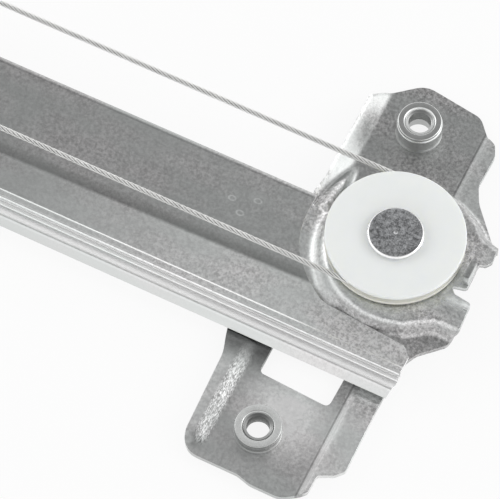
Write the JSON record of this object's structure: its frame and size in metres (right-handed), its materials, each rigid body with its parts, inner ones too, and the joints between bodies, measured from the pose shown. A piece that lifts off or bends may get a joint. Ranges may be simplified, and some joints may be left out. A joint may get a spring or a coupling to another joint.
{
  "type": "cable window regulator",
  "caption": "Cable window regulator: a pressed guide rail with a riveted pulley and bolt-on bracket at each end, a sliding glass carrier and a cable drum housing, without its motor.",
  "frame": {"origin": "the middle of the upper bracket's two mounting nuts, on the mounting plane", "axes": "+X along the rail towards the upper pulley, +Z off the mounting faces towards the glass"},
  "size_m": [0.5564, 0.1645, 0.025],
  "materials": {
    "zinc_sheet": "zinc-plated pressed sheet steel, dull grey with fine grain",
    "zinc_nut": "zinc-plated turned steel, bright",
    "rivet_steel": "plated cold-headed steel",
    "screw_steel": "zinc-plated thread-forming screw",
    "wire_rope": "galvanised stranded wire rope",
    "white_nylon": "natural white moulded nylon, slightly translucent",
    "drum_nylon": "natural moulded nylon",
    "black_plastic": "black glass-filled nylon",
    "rubber": "black rubber",
    "spring_steel": "spring wire",
    "nipple_zinc": "die-cast zinc"
  },
  "bodies": {
    "frame": {"guide_rail": "zinc_sheet", "upper_bracket": "zinc_sheet", "lower_bracket": "zinc_sheet", "tall_weld_nuts": "zinc_nut", "short_weld_nuts": "zinc_nut", "upper_pulley_washer": "rivet_steel", "upper_pulley_pin": "rivet_steel", "lower_pulley_washer": "rivet_steel", "lower_pulley_pin": "rivet_steel", "lift_cable": "wire_rope", "lowering_cable": "wire_rope", "drum_bracket": "zinc_sheet", "drum_bracket_rivets": "rivet_steel", "motor_nuts": "zinc_nut", "drum_housing": "black_plastic", "drum_cover": "black_plastic", "housing_screws": "screw_steel", "lower_stop": "rubber"},
    "carrier": {"carrier_body": "black_plastic", "carrier_plate": "zinc_sheet", "carrier_rivets": "rivet_steel", "glass_pads": "rubber", "lift_cable_nipple": "nipple_zinc", "lowering_cable_nipple": "nipple_zinc", "lift_tension_spring": "spring_steel", "lowering_tension_spring": "spring_steel"},
    "upper_wheel": {"upper_pulley": "white_nylon"},
    "lower_wheel": {"lower_pulley": "white_nylon"},
    "drum": {"cable_drum": "drum_nylon"}
  },
  "joints": [
    {"name": "carrier_slide", "type": "slide", "parent": "frame", "child": "carrier", "axis": [1, 0, 0], "range_m": [0, 0.335]},
    {"name": "upper_pulley_spin", "type": "hinge", "parent": "frame", "child": "upper_wheel", "pos_m": [0.011, 0.013, 0.0148], "axis": [0, 0, 1], "range_deg": [0, 1035]},
    {"name": "lower_pulley_spin", "type": "hinge", "parent": "frame", "child": "lower_wheel", "pos_m": [-0.489, 0.013, 0.0148], "axis": [0, 0, 1], "range_deg": [0, 1035]},
    {"name": "drum_spin", "type": "hinge", "parent": "frame", "child": "drum", "pos_m": [-0.239, 0.05185, 0.0148], "axis": [0, 0, 1], "range_deg": [-950, 0]}
  ],
  "couplings": [
    {"joint": "upper_pulley_spin", "follows": "carrier_slide", "rad_per_m": 53.763},
    {"joint": "lower_pulley_spin", "follows": "carrier_slide", "rad_per_m": 53.763},
    {"joint": "drum_spin", "follows": "carrier_slide", "rad_per_m": -49.383}
  ]
}
